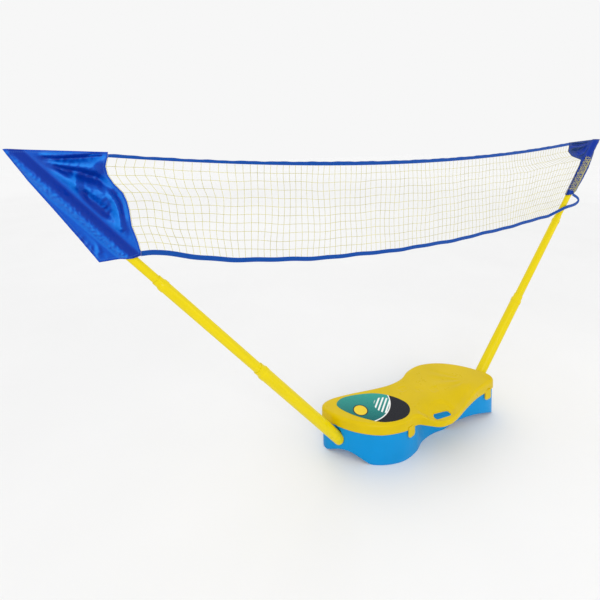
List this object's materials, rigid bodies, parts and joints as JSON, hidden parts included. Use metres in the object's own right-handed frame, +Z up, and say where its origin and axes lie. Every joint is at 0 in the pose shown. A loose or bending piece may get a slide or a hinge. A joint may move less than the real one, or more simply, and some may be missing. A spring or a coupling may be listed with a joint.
{
  "type": "portable net set",
  "caption": "Portable net on two raked telescopic poles that hinge in the ends of a lidded carry case, which stands on the floor as the base.",
  "frame": {"origin": "on the floor, under the middle of the whole set's bounding box", "axes": "+X along the net, +Y away from the carrying grip, +Z up"},
  "size_m": [2.3508, 0.2632, 1.015],
  "materials": {
    "tray_plastic": "moulded, satin gloss",
    "lid_plastic": "moulded, satin gloss",
    "pole_plastic": "smooth gloss",
    "label_film": "printed film",
    "cloth": "satin woven nylon",
    "net_string": "thin twisted twine",
    "steel": "plated"
  },
  "bodies": {
    "root": {"tray": "tray_plastic", "hinge_pin_left": "steel", "hinge_pin_right": "steel", "left_pivot_screw": "steel", "right_pivot_screw": "steel", "net": "net_string", "top_tape": "cloth", "bottom_tape": "cloth"},
    "lid": {"lid": "lid_plastic", "label": "label_film"},
    "left_lower": {"left_lower_tube": "pole_plastic", "left_lower_collar": "pole_plastic", "left_pocket": "cloth"},
    "left_middle": {"left_middle_tube": "pole_plastic", "left_middle_bush": "pole_plastic", "left_upper_collar": "pole_plastic"},
    "left_top": {"left_top_tube": "pole_plastic", "left_top_bush": "pole_plastic", "left_tip_cap": "pole_plastic"},
    "right_lower": {"right_lower_tube": "pole_plastic", "right_lower_collar": "pole_plastic", "right_pocket": "cloth"},
    "right_middle": {"right_middle_tube": "pole_plastic", "right_middle_bush": "pole_plastic", "right_upper_collar": "pole_plastic"},
    "right_top": {"right_top_tube": "pole_plastic", "right_top_bush": "pole_plastic", "right_tip_cap": "pole_plastic"}
  },
  "joints": [
    {"name": "lid_hinge", "type": "hinge", "parent": "root", "child": "lid", "pos_m": [0, 0.12661, 0.096], "axis": [-1, 0, 0], "range_deg": [0, 100]},
    {"name": "left_pole_hinge", "type": "hinge", "parent": "root", "child": "left_lower", "pos_m": [-0.306, 0.02461, 0.064], "axis": [0, 1, 0], "range_deg": [0, 12], "deforming": ["net", "top_tape", "bottom_tape"]},
    {"name": "left_middle_slide", "type": "slide", "parent": "left_lower", "child": "left_middle", "axis": [0.673, 0, -0.7396], "range_m": [0, 0.305]},
    {"name": "left_top_slide", "type": "slide", "parent": "left_middle", "child": "left_top", "axis": [0.673, 0, -0.7396], "range_m": [0, 0.38]},
    {"name": "right_pole_hinge", "type": "hinge", "parent": "root", "child": "right_lower", "pos_m": [0.306, 0.00461, 0.064], "axis": [0, -1, 0], "range_deg": [0, 12], "deforming": ["net", "top_tape", "bottom_tape"]},
    {"name": "right_middle_slide", "type": "slide", "parent": "right_lower", "child": "right_middle", "axis": [-0.673, 0, -0.7396], "range_m": [0, 0.305]},
    {"name": "right_top_slide", "type": "slide", "parent": "right_middle", "child": "right_top", "axis": [-0.673, 0, -0.7396], "range_m": [0, 0.38]}
  ]
}
